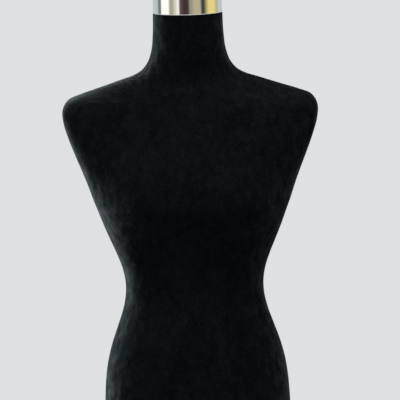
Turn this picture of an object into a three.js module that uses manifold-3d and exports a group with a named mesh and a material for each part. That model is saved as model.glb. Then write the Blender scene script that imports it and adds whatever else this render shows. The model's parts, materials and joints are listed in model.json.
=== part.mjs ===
// A display dress form: a moulded female torso under a velvet cover, with a chrome neck cap, on a
// height-adjustable chrome stand. Millimetres, +Z up, the origin on the floor under the pole.
// The form faces -Y, and +X is the viewer's right.

import * as THREE from "three";
import Module from "manifold-3d";
import { LoftGeometry } from "three/addons/geometries/LoftGeometry.js";
import { mergeVertices } from "three/addons/utils/BufferGeometryUtils.js";

const wasm = await Module();
wasm.setup();

// ---------------------------------------------------------------- driving dimensions

const TORSO_BOTTOM = 800; // height of the torso's hem above the floor at rest
const TORSO_HEIGHT = 738; // hem to neck edge
const NECK_TILT = THREE.MathUtils.degToRad(13); // the neck is cut on a slope, low at the front
const NECK_RADIUS = 54.2;

const CLOTH = 2.6; // velvet and its thin padding
const WALL = 3.6; // moulded shell
const GAP = 0.4; // room between pieces that touch
const HEM_WIDTH = 20; // velvet turned under the base board
const COLLAR_WIDTH = 10; // velvet turned over the neck edge

const POLE_RADIUS = 12.5;
const LOWER_POLE_RADIUS = 16;
const TUBE_WALL = 1.5;
const LOWER_POLE_TOP = 590;
const UPPER_POLE_BOTTOM = 222;
const POLE_IN_TORSO = 55; // how far the upper pole stands inside the torso

const BASE_RADIUS = 170;
const BASE_CENTRE_HEIGHT = 24; // the dish's flat centre, which the pole stands on
const FOOT_HEIGHT = 4.6;
const FOOT_CIRCLE = 138;
const FOOT_COUNT = 5;

const CAP_HEIGHT = 62;
const SCREW_RADIUS = 4; // the M8 lock screws and the cap stud
const SCREW_ROOM = 0.35; // radial room around a screw

// ---------------------------------------------------------------- the torso's outlines

// Half width at the side seams, from the hem up. The last points are the neck.
const halfWidth = curve([
  [0, 134.8], [60, 142], [120, 145.4], [170, 142.8], [195, 139.3], [215, 134.6],
  [235, 128.4], [255, 121.2], [290, 110.2], [312, 107.6], [330, 109.4], [348, 113.9],
  [365, 120.5], [383, 128.3], [402, 136.4], [440, 150.7], [478, 163.4], [540, 187.8],
  [572, 198.2], [589, 200], [602, 197.6], [609, 190.4], [617, 168], [629, 132],
  [641.5, 92.5], [648, 79.2], [660, 67.2], [680, 58.9], [700, 55.7], [738, 54.2],
]);
// Depth from the side seam forward: belly, waist, bust, chest, neck.
const frontDepth = curve([
  [0, 99], [60, 104.5], [120, 107], [165, 105.5], [212, 98], [256, 88.5], [300, 83],
  [345, 82.5], [376, 89.5], [403, 104], [430, 113], [462, 111], [505, 101], [545, 89],
  [590, 74], [620, 62.5], [645, 55], [680, 53.3], [738, 52.8],
]);
// Depth from the side seam back: seat, small of the back, shoulder blades, neck.
const backDepth = curve([
  [0, 106], [60, 116], [120, 124], [165, 121], [240, 99], [312, 79], [370, 86], [430, 98],
  [500, 104], [550, 101], [590, 92], [620, 79], [645, 64], [665, 57], [700, 53.5], [738, 52.8],
]);
// Where the side seam lies, front to back. The neck leans forward along its own axis.
const NECK_LEAN_START = 650;
const neckLean = (z) => -Math.tan(NECK_TILT) * Math.max(0, z - NECK_LEAN_START);
const seamLine = curve([
  [0, 4], [120, 5], [312, -2], [450, 0], [590, 5], [NECK_LEAN_START, 0],
  [680, neckLean(680)], [TORSO_HEIGHT, neckLean(TORSO_HEIGHT)],
]);
// Squareness of the section: 2 is an ellipse, more is boxier, less comes to a ridge at the side.
const squareness = curve([
  [0, 2.3], [240, 2.2], [312, 2.15], [430, 2.3], [575, 2.35], [603, 2.3], [618, 1.9],
  [640, 1.75], [662, 2.0], [738, 2.0],
]);
// How far the flat armhole cuts into the shoulder's own round section.
const armholeCut = curve([[430, 0], [500, 6], [560, 11], [595, 11], [612, 4], [622, 0]]);
const ARMHOLE_SOFTNESS = 5;
// Slope of each section, front down: level below the bust, steepest round the neck's root.
const sectionTilt = curve([
  [440, 0], [590, 0.14], [640, 0.31], [690, 0.25], [TORSO_HEIGHT, Math.tan(NECK_TILT)],
]);

// Soft mounds that stand out from the outlines: side, height, reach and spread of each.
const MOUNDS = [
  { front: true, x: 76, z: 430, rise: 20, wide: 46, up: 76, down: 38 }, // bust
  { front: false, x: 66, z: 130, rise: 9, wide: 48, up: 60, down: 60 }, // seat
  { front: false, x: 78, z: 520, rise: 6, wide: 42, up: 60, down: 70 }, // shoulder blades
];
const SPINE = { rise: -7, wide: 22, z: 350, up: 150, down: 130 }; // hollow down the back

// A smooth curve through [position, value] points that never overshoots them, held flat outside.
function curve(points) {
  const n = points.length;
  const slope = points.slice(1).map(([p, v], i) => (v - points[i][1]) / (p - points[i][0]));
  const tangent = points.map((_, i) => {
    if (i === 0 || i === n - 1) return i === 0 ? slope[0] : slope[n - 2];
    const [a, b] = [slope[i - 1], slope[i]];
    return a * b <= 0 ? 0 : (2 * a * b) / (a + b);
  });
  return (at) => {
    const p = THREE.MathUtils.clamp(at, points[0][0], points[n - 1][0]);
    let i = 0;
    while (i < n - 2 && p > points[i + 1][0]) i++;
    const span = points[i + 1][0] - points[i][0];
    const t = (p - points[i][0]) / span;
    const [t2, t3] = [t * t, t * t * t];
    return (
      (2 * t3 - 3 * t2 + 1) * points[i][1] +
      (t3 - 2 * t2 + t) * span * tangent[i] +
      (3 * t2 - 2 * t3) * points[i + 1][1] +
      (t3 - t2) * span * tangent[i + 1]
    );
  };
}

function bell(x, z, { x: x0 = 0, z: z0, wide, up, down }) {
  const dz = (z - z0) / (z > z0 ? up : down);
  return Math.exp(-(((x - x0) / wide) ** 2) - dz * dz);
}

// Extra depth of the body's front or back at this place.
function swell(x, z, front) {
  let extra = front ? 0 : SPINE.rise * bell(x, z, SPINE);
  for (const mound of MOUNDS) {
    if (mound.front === front) extra += mound.rise * bell(Math.abs(x), z, mound);
  }
  return extra;
}

// The distance from the middle at a share of the way out to the side, eased into the armhole.
function sideReach(z, share) {
  const side = halfWidth(z);
  const cut = armholeCut(z);
  const ease = (past) => ARMHOLE_SOFTNESS * Math.log(1 + Math.exp(past / ARMHOLE_SOFTNESS));
  if (cut === 0) return side * share;
  return Math.max(side - ease(side - (side + cut) * share) + ease(-cut) * share, 0);
}

// A point on the torso's surface. The angle runs from +X by way of the back (+Y).
function bodyPoint(z, angle) {
  const [c, s] = [Math.cos(angle), Math.sin(angle)];
  const power = 2 / squareness(z);
  const x = Math.sign(c) * sideReach(z, Math.abs(c) ** power);
  const front = s < 0;
  const round = Math.abs(s) ** power;
  const depth = ((front ? frontDepth(z) : backDepth(z)) + swell(x, z, front)) * round;
  const fromSeam = front ? -depth : depth;
  return new THREE.Vector3(x, seamLine(z) + fromSeam, z + sectionTilt(z) * fromSeam);
}

// The same point moved inwards along the surface's normal.
function insetPoint(z, angle, inset) {
  const point = bodyPoint(z, angle);
  if (!inset) return point;
  const [dz, da] = [1.5, 0.04]; // steps in height and angle for the normal
  const along = bodyPoint(z + dz, angle).sub(bodyPoint(z - dz, angle));
  const around = bodyPoint(z, angle + da).sub(bodyPoint(z, angle - da));
  return point.addScaledVector(around.cross(along).normalize(), -inset);
}

// Depth from the side seam to the front over the fullest part of the bust.
function bustDepth(z) {
  return frontDepth(z) + swell(MOUNDS[0].x, z, true);
}

// Heights for the loft's sections, closer together where the outlines turn.
function sectionHeights(low, high, count) {
  const STEPS = 400;
  const TURN_WEIGHT = 30; // millimetres of length that one radian of turning is worth
  const outlines = [halfWidth, bustDepth, backDepth];
  const dz = (high - low) / STEPS;
  const heading = (outline, z) => Math.atan2(outline(z + dz) - outline(z), dz);
  const cost = [0];
  for (let i = 1; i <= STEPS; i++) {
    const z = low + (i - 1) * dz;
    let turning = 0;
    for (const outline of outlines) {
      turning += Math.abs(heading(outline, z) - heading(outline, z - dz));
    }
    const length = Math.hypot(dz, halfWidth(z + dz) - halfWidth(z));
    cost.push(cost[i - 1] + length + TURN_WEIGHT * turning);
  }
  const heights = [];
  for (let k = 0, i = 0; k <= count; k++) {
    const want = (cost[STEPS] * k) / count;
    while (i < STEPS && cost[i] < want) i++;
    heights.push(low + i * dz);
  }
  return heights;
}

function section(z, inset, columns) {
  const angle = (j) => (2 * Math.PI * j) / columns;
  return Array.from({ length: columns }, (_, j) => insetPoint(z, angle(j), inset));
}

// The torso as one closed solid, inset from the velvet's surface, between two heights.
function bodySolid(inset, low, high, rows, columns) {
  const sections = sectionHeights(low, high, rows).map((z) => section(z, inset, columns));
  return solid(new LoftGeometry(sections, { capStart: true, capEnd: true }));
}

// A flat plate in the shape of the hem, inset from it.
function hemPlate(inset, low, high, columns) {
  const ring = (z) => section(1, inset, columns).map((p) => new THREE.Vector3(p.x, p.y, z));
  return solid(new LoftGeometry([ring(low), ring(high)], { capStart: true, capEnd: true }));
}

// ---------------------------------------------------------------- solids and helpers

// A closed geometry as a solid that can be cut and joined.
function solid(geometry) {
  const bare = new THREE.BufferGeometry();
  bare.setAttribute("position", geometry.getAttribute("position"));
  bare.setIndex(geometry.index);
  const merged = mergeVertices(bare, 1e-3);
  const mesh = new wasm.Mesh({
    numProp: 3,
    vertProperties: merged.attributes.position.array,
    triVerts: merged.index.array,
  });
  return new wasm.Manifold(mesh);
}

function geometryOf(manifold) {
  const mesh = manifold.getMesh();
  return new THREE.BufferGeometry()
    .setAttribute("position", new THREE.BufferAttribute(mesh.vertProperties, 3))
    .setIndex(new THREE.BufferAttribute(mesh.triVerts, 1));
}

// A body turned about Z from [radius, height] points, taken anticlockwise with radius to the right.
function turned(points, segments = 36) {
  const profile = points.map(([r, z]) => new THREE.Vector2(r, z));
  const onAxis = points[0][0] === 0;
  if (!onAxis) profile.push(profile[0].clone());
  return new THREE.LatheGeometry(profile, segments).rotateX(Math.PI / 2);
}

function tube(outer, inner, low, high, segments) {
  return turned([[inner, low], [outer, low], [outer, high], [inner, high]], segments);
}

// A round bar along +Z, for shafts and for drilling holes.
function bar(radius, low, high, segments = 20) {
  return new THREE.CylinderGeometry(radius, radius, high - low, segments)
    .rotateX(Math.PI / 2)
    .translate(0, 0, (low + high) / 2);
}

// The points of an arc from one angle to another, in degrees, with its ends.
function arc(centreR, centreZ, radius, from, to, steps) {
  return Array.from({ length: steps + 1 }, (_, i) => {
    const a = THREE.MathUtils.degToRad(from + ((to - from) * i) / steps);
    return [centreR + radius * Math.cos(a), centreZ + radius * Math.sin(a)];
  });
}

// A radial cylinder that starts near the pole's axis, pointing along +X, then turned about Z.
function radialBar(radius, from, to, height, turn) {
  return bar(radius, from, to).rotateY(Math.PI / 2).rotateZ(turn).translate(0, 0, height);
}

const screwHole = SCREW_RADIUS + SCREW_ROOM;

// The hole for a lock screw, from inside the pole out to beyond its knob.
function lockScrewHole(height, turn) {
  const INNER_END = 5;
  const OUTER_END = 60;
  return solid(radialBar(screwHole, INNER_END, OUTER_END, height, turn));
}

const form = new THREE.Group();

function finish(color, roughness, metalness) {
  return new THREE.MeshStandardMaterial({ color, roughness, metalness });
}
const velvet = finish(0x0a0b0d, 1.0, 0.0);
const chrome = finish(0xd9dcdf, 0.06, 1.0);
const steel = finish(0x9a9c9e, 0.35, 1.0);
const iron = finish(0x2b2b2c, 0.7, 0.6);
const brass = finish(0xc09a4e, 0.3, 1.0);
const wood = finish(0xb08a5c, 0.7, 0.0);
const plastic = finish(0x141414, 0.45, 0.0);
const rubber = finish(0x101010, 0.85, 0.0);
const moulded = finish(0xd8d2c4, 0.6, 0.0);
const felt = finish(0x15161a, 1.0, 0.0);

function add(name, shape, material, parent = form) {
  const geometry = shape.isBufferGeometry ? shape : geometryOf(shape);
  const mesh = new THREE.Mesh(geometry, material);
  mesh.name = name;
  parent.add(mesh);
  return mesh;
}

// ---------------------------------------------------------------- torso

const torso = new THREE.Group();
torso.position.z = TORSO_BOTTOM;
form.add(torso);

// The neck's own frame: its origin is the centre of the neck edge, and its Z is the neck's axis.
const neck = new THREE.Group();
neck.position.set(0, seamLine(TORSO_HEIGHT), TORSO_HEIGHT);
neck.rotation.x = NECK_TILT;
torso.add(neck);

// A solid drawn in the neck's frame, moved into the torso's frame.
function inNeckFrame(geometry) {
  neck.updateMatrix();
  return solid(geometry.applyMatrix4(neck.matrix));
}

const SEAM_GAP = 0.3;
const FINE_COLUMNS = 32;
const FINE_ROWS = 34;
const COARSE_COLUMNS = 20;
const COARSE_ROWS = 34;
const HOLLOW_ROWS = 14;

// Everything in front of the side seams, or behind them.
function seamHalf(front) {
  const way = front ? -1 : 1;
  const FAR = 300;
  const BEYOND = 20;
  const shape = new THREE.Shape();
  const STEPS = 24;
  const high = TORSO_HEIGHT + 2 * BEYOND;
  const seamSide = (z) => seamLine(z) + (way * SEAM_GAP) / 2;
  shape.moveTo(way * FAR, -BEYOND);
  shape.lineTo(seamSide(0), -BEYOND);
  for (let i = 0; i <= STEPS; i++) {
    const z = (TORSO_HEIGHT * i) / STEPS;
    shape.lineTo(seamSide(z), z);
  }
  shape.lineTo(seamSide(TORSO_HEIGHT), high);
  shape.lineTo(way * FAR, high);
  const block = new THREE.ExtrudeGeometry(shape, { depth: 2 * FAR, bevelEnabled: false });
  // The shape's x is the torso's y and its y is the torso's z, so the extrusion runs along x.
  const toTorso = new THREE.Matrix4().makeBasis(
    new THREE.Vector3(0, 1, 0),
    new THREE.Vector3(0, 0, 1),
    new THREE.Vector3(1, 0, 0),
  );
  return solid(block.translate(0, 0, -FAR).applyMatrix4(toTorso));
}
const frontHalf = seamHalf(true);
const backHalf = seamHalf(false);

function velvetCover() {
  const outside = bodySolid(0, 0, TORSO_HEIGHT, FINE_ROWS, FINE_COLUMNS);
  const inside = bodySolid(CLOTH, CLOTH, TORSO_HEIGHT - CLOTH, COARSE_ROWS, COARSE_COLUMNS);
  const hemHole = hemPlate(HEM_WIDTH, -CLOTH, 2 * CLOTH, COARSE_COLUMNS);
  const neckHole = inNeckFrame(bar(NECK_RADIUS - COLLAR_WIDTH, -4 * CLOTH, 2 * CLOTH, 32));
  return outside.subtract(inside).subtract(hemHole).subtract(neckHole);
}
const cover = velvetCover();
add("velvet_front_panel", cover.intersect(frontHalf), velvet, torso);
add("velvet_back_panel", cover.intersect(backHalf), velvet, torso);

const SHELL_INSET = CLOTH + GAP;
const HOLLOW_INSET = SHELL_INSET + WALL;
function mouldedShell() {
  const low = SHELL_INSET;
  const high = TORSO_HEIGHT - SHELL_INSET;
  const outside = bodySolid(SHELL_INSET, low, high, COARSE_ROWS, COARSE_COLUMNS);
  const beyond = 2 * WALL;
  const hollow = bodySolid(HOLLOW_INSET, -beyond, TORSO_HEIGHT + beyond, HOLLOW_ROWS, COARSE_COLUMNS);
  return outside.subtract(hollow);
}
const shell = mouldedShell();
add("torso_front_shell", shell.intersect(frontHalf), moulded, torso);
add("torso_back_shell", shell.intersect(backHalf), moulded, torso);

// Base board, felt and pole socket. The board is stepped, so that the hem lies flush under it.
const BOARD_THICKNESS = 18;
const BOARD_STEP = SHELL_INSET + GAP;
const BOARD_ROOM = 1.6; // room between a board's edge and the shell's inside
const SOCKET_RADIUS = POLE_RADIUS + GAP;
const SOCKET_OUTER = 16.5;
const SOCKET_BELOW = 44;
const SOCKET_ABOVE = 72;
const PLATE_HALF = 46;
const PLATE_THICKNESS = 4;
const PLATE_TOP = -2.2;
const PLATE_CORNER = 8;
const FELT_TOP = -0.4;
const FELT_THICKNESS = 1.5;
const SCREW_SPREAD = 34;
const SMALL_SCREW_RADIUS = 2.1;
const SMALL_SCREW_HOLE = 2.5;
const SMALL_SCREW_LENGTH = 18;
const screwPlaces = [
  [SCREW_SPREAD, SCREW_SPREAD],
  [-SCREW_SPREAD, SCREW_SPREAD],
  [-SCREW_SPREAD, -SCREW_SPREAD],
  [SCREW_SPREAD, -SCREW_SPREAD],
];

// Holes for the four screws through a shape, and a centre hole if it has a radius.
function drilled(body, centreHole) {
  const REACH = 60;
  let result = body;
  if (centreHole) result = result.subtract(solid(bar(centreHole, -REACH, REACH, 28)));
  for (const [x, y] of screwPlaces) {
    const hole = bar(SMALL_SCREW_HOLE, -REACH, REACH, 12).translate(x, y, 0);
    result = result.subtract(solid(hole));
  }
  return result;
}

function baseBoard() {
  const upper = hemPlate(HOLLOW_INSET + BOARD_ROOM, BOARD_STEP, BOARD_THICKNESS, COARSE_COLUMNS);
  const lower = hemPlate(HEM_WIDTH + GAP, 0, BOARD_STEP + GAP, COARSE_COLUMNS);
  return drilled(upper.add(lower), SOCKET_OUTER + GAP);
}
add("base_board", baseBoard(), wood, torso);

const FELT_INSET = 9;
function underFelt() {
  const sheet = hemPlate(FELT_INSET, FELT_TOP - FELT_THICKNESS, FELT_TOP, COARSE_COLUMNS);
  return drilled(sheet, SOCKET_OUTER + GAP);
}
add("underside_felt", underFelt(), felt, torso);

function roundedSquare(half, corner) {
  const shape = new THREE.Shape();
  const inner = half - corner;
  shape.absarc(inner, inner, corner, 0, Math.PI / 2);
  shape.absarc(-inner, inner, corner, Math.PI / 2, Math.PI);
  shape.absarc(-inner, -inner, corner, Math.PI, 1.5 * Math.PI);
  shape.absarc(inner, -inner, corner, 1.5 * Math.PI, 2 * Math.PI);
  return shape;
}

const LOCK_HEIGHT_ON_SOCKET = -24;
const BOSS_RADIUS = 9;
const BOSS_START = 10;
const BOSS_REACH = 25;

function poleSocket() {
  const plate = new THREE.ExtrudeGeometry(roundedSquare(PLATE_HALF, PLATE_CORNER), {
    depth: PLATE_THICKNESS,
    bevelEnabled: false,
    curveSegments: 5,
  }).translate(0, 0, PLATE_TOP - PLATE_THICKNESS);
  const sleeve = bar(SOCKET_OUTER, -SOCKET_BELOW, SOCKET_ABOVE, 32);
  const boss = radialBar(BOSS_RADIUS, BOSS_START, BOSS_REACH, LOCK_HEIGHT_ON_SOCKET, Math.PI / 2);
  const bore = bar(SOCKET_RADIUS, -SOCKET_BELOW - 1, SOCKET_ABOVE + 1, 32);
  const body = solid(plate).add(solid(sleeve)).add(solid(boss)).subtract(solid(bore));
  return drilled(body.subtract(lockScrewHole(LOCK_HEIGHT_ON_SOCKET, Math.PI / 2)), 0);
}
add("pole_socket", poleSocket(), steel, torso);

const STOP_DEPTH = 10;
const STOP_RIM = 2.5;
add(
  "socket_stop_plug",
  turned([
    [0, SOCKET_ABOVE - STOP_DEPTH],
    [SOCKET_RADIUS - GAP, SOCKET_ABOVE - STOP_DEPTH],
    [SOCKET_RADIUS - GAP, SOCKET_ABOVE + GAP],
    [SOCKET_OUTER, SOCKET_ABOVE + GAP],
    [SOCKET_OUTER, SOCKET_ABOVE + GAP + STOP_RIM],
    [0, SOCKET_ABOVE + GAP + STOP_RIM],
  ], 28),
  plastic,
  torso,
);

// A pan-head screw that points up, its head's underside at height 0, with a cross recess.
function panHeadScrew() {
  const HEAD_RADIUS = 4.4;
  const HEAD_HEIGHT = 3.2;
  const HEAD_RIM = 1.4;
  const CROWN_RADIUS = 2.4;
  const POINT_LENGTH = 3;
  const RECESS_LONG = 4.6;
  const RECESS_WIDE = 1;
  const RECESS_DEPTH = 1.5;
  const body = turned([
    [0, -HEAD_HEIGHT],
    [CROWN_RADIUS, -HEAD_HEIGHT],
    [HEAD_RADIUS, -HEAD_RIM],
    [HEAD_RADIUS, 0],
    [SMALL_SCREW_RADIUS, 0],
    [SMALL_SCREW_RADIUS, SMALL_SCREW_LENGTH - POINT_LENGTH],
    [0, SMALL_SCREW_LENGTH],
  ], 14);
  const slot = new THREE.BoxGeometry(RECESS_LONG, RECESS_WIDE, 2 * RECESS_DEPTH);
  slot.translate(0, 0, -HEAD_HEIGHT);
  const crossSlot = slot.clone().rotateZ(Math.PI / 2);
  return solid(body).subtract(solid(slot)).subtract(solid(crossSlot));
}
screwPlaces.forEach(([x, y], i) => {
  const screw = add(`socket_screw_${i + 1}`, panHeadScrew(), steel, torso);
  screw.position.set(x, y, PLATE_TOP - PLATE_THICKNESS - GAP);
});

// ---------------------------------------------------------------- lock screws and knobs

// A fluted knob on the end of a screw. Both are drawn along +Z with 0 at the pole's axis.
const KNOB_START = 27;
const KNOB_LENGTH = 21;
const SCREW_END = KNOB_START + 12;

function lockScrew() {
  const TIP_RADIUS = 2.6;
  const TIP_LENGTH = 1.6;
  const tip = POLE_RADIUS + GAP;
  return turned([
    [0, tip],
    [TIP_RADIUS, tip],
    [SCREW_RADIUS, tip + TIP_LENGTH],
    [SCREW_RADIUS, SCREW_END],
    [0, SCREW_END],
  ], 16);
}

function flutedKnob(radius, lobes) {
  const HUB_RADIUS = 9;
  const HUB_LENGTH = 7;
  const FLUTE_DEPTH = 1.6;
  const BEVEL = 1.5;
  const steps = lobes * 4; // points round the outline
  const outline = Array.from({ length: steps }, (_, i) => {
    const a = (2 * Math.PI * i) / steps;
    const r = radius - BEVEL - FLUTE_DEPTH * 0.5 * (1 - Math.cos(lobes * a));
    return new THREE.Vector2(r * Math.cos(a), r * Math.sin(a));
  });
  const head = new THREE.ExtrudeGeometry(new THREE.Shape(outline), {
    depth: KNOB_LENGTH - HUB_LENGTH - 2 * BEVEL,
    bevelThickness: BEVEL,
    bevelSize: BEVEL,
    bevelSegments: 1,
  }).translate(0, 0, KNOB_START + HUB_LENGTH + BEVEL);
  const hub = bar(HUB_RADIUS, KNOB_START, KNOB_START + HUB_LENGTH + 2 * BEVEL, 24);
  const socket = bar(screwHole, KNOB_START - 1, SCREW_END + GAP, 16);
  return solid(head).add(solid(hub)).subtract(solid(socket));
}

function lockAt(name, height, turn, parent, knobRadius, lobes) {
  const place = new THREE.Group();
  place.rotation.set(0, Math.PI / 2, 0);
  const heading = new THREE.Group();
  heading.position.z = height;
  heading.rotation.z = turn;
  heading.add(place);
  parent.add(heading);
  add(`${name}_lock_screw`, lockScrew(), steel, place);
  add(`${name}_lock_knob`, flutedKnob(knobRadius, lobes), plastic, place);
}
lockAt("torso", LOCK_HEIGHT_ON_SOCKET, Math.PI / 2, torso, 15, 8);

// ---------------------------------------------------------------- neck board and cap

const NECK_BOARD_THICKNESS = 14;
const INSERT_RADIUS = 6.5;
const neckBoardTop = -SHELL_INSET;
const neckBoardBottom = neckBoardTop - NECK_BOARD_THICKNESS;
const NECK_BOARD_RADIUS = NECK_RADIUS - HOLLOW_INSET - 2;
const neckBoard = tube(NECK_BOARD_RADIUS, INSERT_RADIUS + GAP, neckBoardBottom, neckBoardTop, 32);
add("neck_board", neckBoard, wood, neck);
const insertBottom = neckBoardBottom + 2;
add("neck_insert", tube(INSERT_RADIUS, screwHole, insertBottom, neckBoardTop, 16), brass, neck);

const CAP_RADIUS = NECK_RADIUS - 0.3;
const CAP_WALL = 1.2;
const CAP_FILLET = 15;
const CAP_FILLET_END = 84; // degrees round the fillet at which the crown takes over
const CAP_DOME = 4; // rise of the crown from the fillet to the centre
const CAP_SEAT = 0.5;
const CAP_BEAD = 0.8; // the rolled edge at the cap's foot

function capShell() {
  const top = CAP_SEAT + CAP_HEIGHT;
  const cornerRadius = CAP_RADIUS - CAP_FILLET;
  const cornerHeight = top - CAP_DOME - CAP_FILLET;
  const midRadius = cornerRadius / 2; // a point halfway up the crown's curve
  const midDrop = CAP_DOME * (midRadius / cornerRadius) ** 2;
  return turned([
    [0, top - CAP_WALL],
    ...arc(cornerRadius, cornerHeight, CAP_FILLET - CAP_WALL, CAP_FILLET_END, 0, 2),
    [CAP_RADIUS - CAP_WALL, CAP_SEAT],
    [CAP_RADIUS, CAP_SEAT],
    [CAP_RADIUS + CAP_BEAD, CAP_SEAT + CAP_BEAD],
    [CAP_RADIUS, CAP_SEAT + 2 * CAP_BEAD],
    ...arc(cornerRadius, cornerHeight, CAP_FILLET, 0, CAP_FILLET_END, 4),
    [midRadius, top - midDrop],
    [0, top],
  ], 36);
}
add("neck_cap", capShell(), chrome, neck);

const CORE_THICKNESS = 12;
const CORE_RISE = 0.6; // how far the core sits up inside the cap's foot
const coreRadius = CAP_RADIUS - CAP_WALL - GAP;
const coreBottom = CAP_SEAT + CORE_RISE;
const coreTop = coreBottom + CORE_THICKNESS;
add("cap_core", tube(coreRadius, screwHole, coreBottom, coreTop, 40), wood, neck);

const NUT_RADIUS = 7.5;
const NUT_THICKNESS = 6.5;
const nutLow = coreTop + GAP;
function hexNut() {
  const nutHigh = nutLow + NUT_THICKNESS;
  const hole = bar(screwHole, nutLow - 1, nutHigh + 1, 16);
  return solid(bar(NUT_RADIUS, nutLow, nutHigh, 6)).subtract(solid(hole));
}
add("cap_nut", hexNut(), steel, neck);
const STUD_END = 3; // how far the stud stands past the nut, and short of the neck board's underside
const studTop = nutLow + NUT_THICKNESS + STUD_END;
add("cap_stud", bar(SCREW_RADIUS, neckBoardBottom + STUD_END, studTop, 16), steel, neck);

// ---------------------------------------------------------------- poles

const upperPole = new THREE.Group();
form.add(upperPole);
const upperPoleTop = TORSO_BOTTOM + POLE_IN_TORSO;
const poleBore = POLE_RADIUS - TUBE_WALL;
const upperTube = tube(POLE_RADIUS, poleBore, UPPER_POLE_BOTTOM, upperPoleTop, 32);
add("upper_pole", upperTube, chrome, upperPole);

// A stepped plug for an end of the upper pole: a stem inside the tube and a rim on its end.
function endPlug(rimRadius, rimThickness, stemLength, tubeEnd, up) {
  const stemRadius = poleBore - GAP;
  const way = up ? 1 : -1;
  const rimInner = tubeEnd + way * GAP;
  const rimOuter = rimInner + way * rimThickness;
  const stemEnd = tubeEnd - way * stemLength;
  const profile = [
    [0, stemEnd], [stemRadius, stemEnd], [stemRadius, rimInner],
    [rimRadius, rimInner], [rimRadius, rimOuter], [0, rimOuter],
  ];
  return turned(up ? profile : profile.reverse(), 28);
}
const PLUG_RIM = 2;
const PLUG_STEM = 14;
const topPlug = endPlug(POLE_RADIUS, PLUG_RIM, PLUG_STEM, upperPoleTop, true);
add("pole_top_plug", topPlug, plastic, upperPole);

const GLIDE_RIM = 8;
const GLIDE_STEM = 25;
const lowerBore = LOWER_POLE_RADIUS - TUBE_WALL;
const glide = endPlug(lowerBore - GAP, GLIDE_RIM, GLIDE_STEM, UPPER_POLE_BOTTOM, false);
add("pole_glide", glide, plastic, upperPole);

const stand = new THREE.Group();
form.add(stand);

const LOCK_HEIGHT = LOWER_POLE_TOP - 20;
const poleSeat = BASE_CENTRE_HEIGHT + GAP;

// A piece around the pole with the lock screw's hole drilled through its side.
function withScrewHole(body) {
  return body.subtract(lockScrewHole(LOCK_HEIGHT, 0));
}
const lowerTube = tube(LOWER_POLE_RADIUS, lowerBore, poleSeat, LOWER_POLE_TOP, 36);
add("lower_pole", withScrewHole(solid(lowerTube)), chrome, stand);

const BUSH_LENGTH = 38;
const BUSH_RIM = 3;
const COLLAR_OUTER = 21;
const EDGE = 1; // chamfer on the bush's and the collar's upper edges
const bushOuter = COLLAR_OUTER - EDGE;
const bushTop = LOWER_POLE_TOP + GAP + BUSH_RIM;
const guideBush = turned([
  [SOCKET_RADIUS, LOWER_POLE_TOP - BUSH_LENGTH],
  [lowerBore - GAP, LOWER_POLE_TOP - BUSH_LENGTH],
  [lowerBore - GAP, LOWER_POLE_TOP + GAP],
  [bushOuter, LOWER_POLE_TOP + GAP],
  [bushOuter, bushTop - EDGE],
  [bushOuter - EDGE, bushTop],
  [SOCKET_RADIUS, bushTop],
], 24);
add("guide_bush", withScrewHole(solid(guideBush)), plastic, stand);

const COLLAR_HEIGHT = 38;
function lockCollar() {
  const LOWER_EDGE = 2;
  const low = LOWER_POLE_TOP - COLLAR_HEIGHT;
  const high = LOWER_POLE_TOP;
  const inner = LOWER_POLE_RADIUS + GAP;
  const ring = turned([
    [inner, low],
    [COLLAR_OUTER - LOWER_EDGE, low],
    [COLLAR_OUTER, low + LOWER_EDGE],
    [COLLAR_OUTER, high - EDGE],
    [COLLAR_OUTER - EDGE, high],
    [inner, high],
  ], 30);
  const boss = solid(radialBar(BOSS_RADIUS, BOSS_START, BOSS_REACH, LOCK_HEIGHT, 0));
  const poleRoom = solid(bar(inner + EDGE, low, high, 36));
  return withScrewHole(solid(ring).add(boss.subtract(poleRoom)));
}
add("lock_collar", lockCollar(), chrome, stand);
lockAt("height", LOCK_HEIGHT, 0, stand, 17, 9);

// ---------------------------------------------------------------- base

const BOLT_RADIUS = 6;
const boltHole = BOLT_RADIUS + SCREW_ROOM;
const DISH_WALL = 1.5;
const RIM_LOW = 2.5;
const RIM_RADIUS = 5;
const RIM_CENTRE_HEIGHT = 7;
// Radius and height along the dish's gentle slope, from outside its rim's curve to its flat centre.
const dishSlope = [
  [120, 15], [80, 18], [52, 21.6], [38, BASE_CENTRE_HEIGHT], [boltHole, BASE_CENTRE_HEIGHT],
];

function loweredSlope(drop) {
  return dishSlope.map(([r, z]) => [r, z - drop]);
}

// The dish's upper surface, from its rim to its flat centre, lowered by a distance.
function dishTop(drop, cornerSteps) {
  const corner = arc(BASE_RADIUS - RIM_RADIUS, RIM_CENTRE_HEIGHT, RIM_RADIUS - drop, 0, 78, cornerSteps);
  return [[BASE_RADIUS - drop, RIM_LOW], ...corner, ...loweredSlope(drop)];
}
const dish = turned([...dishTop(0, 3), ...dishTop(DISH_WALL, 1).reverse()], 36);
add("base_cover", dish, chrome, stand);

const WEIGHT_LOW = FOOT_HEIGHT + GAP;
const WASHER_RADIUS = 18;
const WASHER_TOP = 13.5;
const WASHER_THICKNESS = 2;
const weightDrop = DISH_WALL + 2 * GAP; // below the dish's upper surface
const WEIGHT_RADIUS = 158;
const WEIGHT_EDGE_TOP = 9.8;
add(
  "base_weight",
  turned([
    [WEIGHT_RADIUS, WEIGHT_LOW],
    [WEIGHT_RADIUS, WEIGHT_EDGE_TOP],
    ...loweredSlope(weightDrop),
    [boltHole, WASHER_TOP + GAP],
    [WASHER_RADIUS + 1, WASHER_TOP + GAP],
    [WASHER_RADIUS + 1, WEIGHT_LOW],
  ], 36),
  iron,
  stand,
);
const washerLow = WASHER_TOP - WASHER_THICKNESS;
add("base_washer", tube(WASHER_RADIUS, boltHole, washerLow, WASHER_TOP, 24), steel, stand);

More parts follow.
